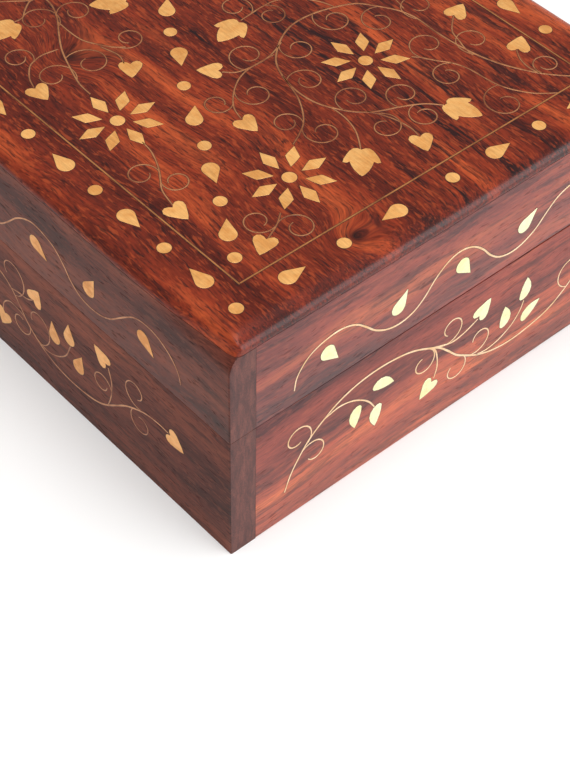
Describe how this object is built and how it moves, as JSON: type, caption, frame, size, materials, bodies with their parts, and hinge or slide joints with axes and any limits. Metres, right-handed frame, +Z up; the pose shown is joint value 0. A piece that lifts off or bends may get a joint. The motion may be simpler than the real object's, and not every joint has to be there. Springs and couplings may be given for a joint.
{
  "type": "inlaid wooden box",
  "caption": "Shallow rectangular hardwood box with a hinged, rounded-edge lid, brass floral inlay on its top and sides, and a velvet-lined inside.",
  "frame": {"origin": "middle of the underside", "axes": "+X to the right along the length when seen from the front, +Y from the front to the hinged back, +Z up"},
  "size_m": [0.2032, 0.1524, 0.0762],
  "materials": {
    "top_wood": "glossy varnished red-brown rosewood with bold grain",
    "end_wood": "varnished red-brown rosewood, pinkish with dark streaks",
    "side_wood": "varnished dark brown rosewood",
    "bottom_wood": "plain unvarnished plywood",
    "lining": "dark red velvet",
    "brass_inlay": "sanded and polished brass",
    "hinge_brass": "pressed brass",
    "nails": "plain steel"
  },
  "bodies": {
    "base": {"base_front_board": "side_wood", "base_back_board": "side_wood", "base_left_board": "end_wood", "base_right_board": "end_wood", "base_bottom_panel": "bottom_wood", "floor_lining": "lining", "bottom_nail_1": "nails", "bottom_nail_2": "nails", "bottom_nail_3": "nails", "bottom_nail_4": "nails", "bottom_nail_5": "nails", "bottom_nail_6": "nails", "bottom_nail_7": "nails", "bottom_nail_8": "nails", "hinge_left_base_leaf": "hinge_brass", "hinge_right_base_leaf": "hinge_brass", "hinge_left_pin": "hinge_brass", "hinge_right_pin": "hinge_brass", "base_leaf_screw_left_1": "hinge_brass", "base_leaf_screw_left_2": "hinge_brass", "base_leaf_screw_right_1": "hinge_brass", "base_leaf_screw_right_2": "hinge_brass"},
    "lid": {"lid_front_rail": "side_wood", "lid_back_rail": "side_wood", "lid_left_rail": "end_wood", "lid_right_rail": "end_wood", "lid_top_panel": "top_wood", "lid_lining": "lining", "hinge_left_lid_leaf": "hinge_brass", "hinge_right_lid_leaf": "hinge_brass", "lid_leaf_screw_left_1": "hinge_brass", "lid_leaf_screw_left_2": "hinge_brass", "lid_leaf_screw_right_1": "hinge_brass", "lid_leaf_screw_right_2": "hinge_brass", "border_strip_front": "brass_inlay", "border_strip_back": "brass_inlay", "border_strip_left": "brass_inlay", "border_strip_right": "brass_inlay", "border_dot_front_1": "brass_inlay", "border_dot_front_2": "brass_inlay", "border_dot_front_3": "brass_inlay", "border_dot_front_4": "brass_inlay", "border_dot_front_5": "brass_inlay", "border_dot_front_6": "brass_inlay", "border_dot_front_7": "brass_inlay", "border_dot_front_8": "brass_inlay", "border_dot_back_1": "brass_inlay", "border_dot_back_2": "brass_inlay", "border_dot_back_3": "brass_inlay", "border_dot_back_4": "brass_inlay", "border_dot_back_5": "brass_inlay", "border_dot_back_6": "brass_inlay", "border_dot_back_7": "brass_inlay", "border_dot_back_8": "brass_inlay", "border_dot_left_1": "brass_inlay", "border_dot_left_2": "brass_inlay", "border_dot_left_3": "brass_inlay", "border_dot_right_1": "brass_inlay", "border_dot_right_2": "brass_inlay", "border_dot_right_3": "brass_inlay"}
  },
  "joints": [
    {"name": "lid_hinge", "type": "hinge", "parent": "base", "child": "lid", "pos_m": [0, 0.0741, 0.04347], "axis": [-1, 0, 0], "range_deg": [0, 100]}
  ]
}
